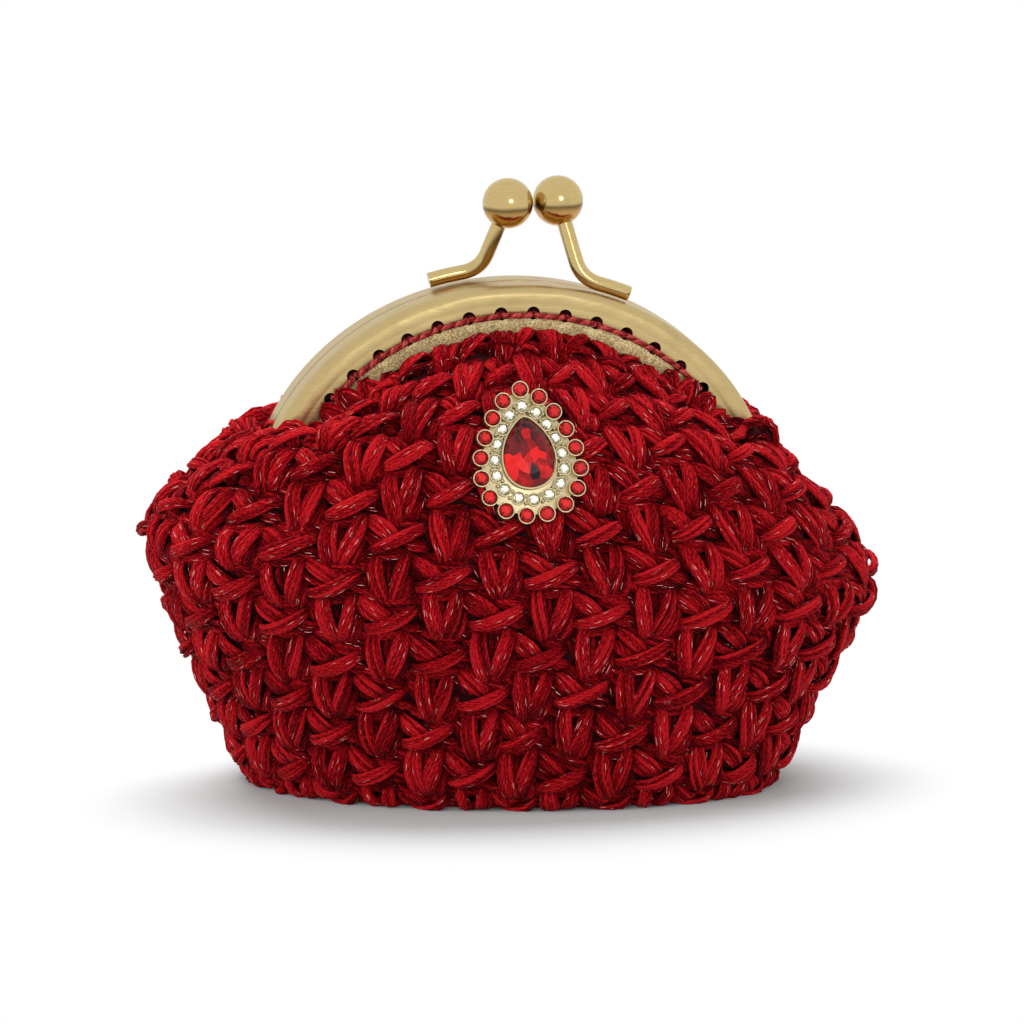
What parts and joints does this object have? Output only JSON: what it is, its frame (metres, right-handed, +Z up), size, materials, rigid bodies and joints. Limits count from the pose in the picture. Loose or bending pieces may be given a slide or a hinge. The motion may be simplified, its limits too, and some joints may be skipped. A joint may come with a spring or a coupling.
{
  "type": "coin purse",
  "caption": "Small crochet coin purse with a hinged arched metal frame, a kiss-lock ball clasp, a flat base and a stone brooch on the front.",
  "frame": {"origin": "middle of the flat base, on the surface the purse stands on", "axes": "+X along the frame to the right, +Y to the rear, +Z up; the brooch faces -Y"},
  "size_m": [0.1225, 0.0611, 0.1022],
  "materials": {
    "pale_gold": "polished, fine scratches",
    "crimson_yarn": "thick crochet yarn",
    "maroon_lining": "satin cloth",
    "red_thread": "twisted thread",
    "red_glass": "faceted, foil backed",
    "clear_glass": "faceted, foil backed"
  },
  "bodies": {
    "bag": {"crochet_pouch": "crimson_yarn", "lining_pouch": "maroon_lining"},
    "front_half": {"front_frame": "pale_gold", "front_stem": "pale_gold", "front_ball": "pale_gold", "crochet_front": "crimson_yarn", "lining_front": "maroon_lining", "front_thread": "red_thread", "brooch_setting": "pale_gold", "teardrop_gem": "red_glass", "red_stone_01": "red_glass", "red_stone_02": "red_glass", "red_stone_03": "red_glass", "red_stone_04": "red_glass", "red_stone_05": "red_glass", "red_stone_06": "red_glass", "red_stone_07": "red_glass", "red_stone_08": "red_glass", "red_stone_09": "red_glass", "red_stone_10": "red_glass", "red_stone_11": "red_glass", "red_stone_12": "red_glass", "red_stone_13": "red_glass", "red_stone_14": "red_glass", "red_stone_15": "red_glass", "red_stone_16": "red_glass", "red_stone_17": "red_glass", "clear_stone_01": "clear_glass", "clear_stone_02": "clear_glass", "clear_stone_03": "clear_glass", "clear_stone_04": "clear_glass", "clear_stone_05": "clear_glass", "clear_stone_06": "clear_glass", "clear_stone_07": "clear_glass", "clear_stone_08": "clear_glass", "clear_stone_09": "clear_glass", "clear_stone_10": "clear_glass", "clear_stone_11": "clear_glass", "clear_stone_12": "clear_glass", "clear_stone_13": "clear_glass", "clear_stone_14": "clear_glass", "clear_stone_15": "clear_glass", "clear_stone_16": "clear_glass"},
    "rear_half": {"rear_frame": "pale_gold", "rear_stem": "pale_gold", "rear_ball": "pale_gold", "left_rivet": "pale_gold", "right_rivet": "pale_gold", "crochet_rear": "crimson_yarn", "lining_rear": "maroon_lining", "rear_thread": "red_thread"}
  },
  "joints": [
    {"name": "front_frame_swing", "type": "hinge", "parent": "bag", "child": "front_half", "pos_m": [0, 0, 0.0464], "axis": [1, 0, 0], "range_deg": [0, 35], "deforming": ["crochet_front", "lining_front"]},
    {"name": "rear_frame_swing", "type": "hinge", "parent": "bag", "child": "rear_half", "pos_m": [0, 0, 0.0464], "axis": [1, 0, 0], "range_deg": [-35, 0], "deforming": ["crochet_rear", "lining_rear"]}
  ],
  "couplings": [
    {"joint": "rear_frame_swing", "follows": "front_frame_swing", "ratio": -1}
  ]
}
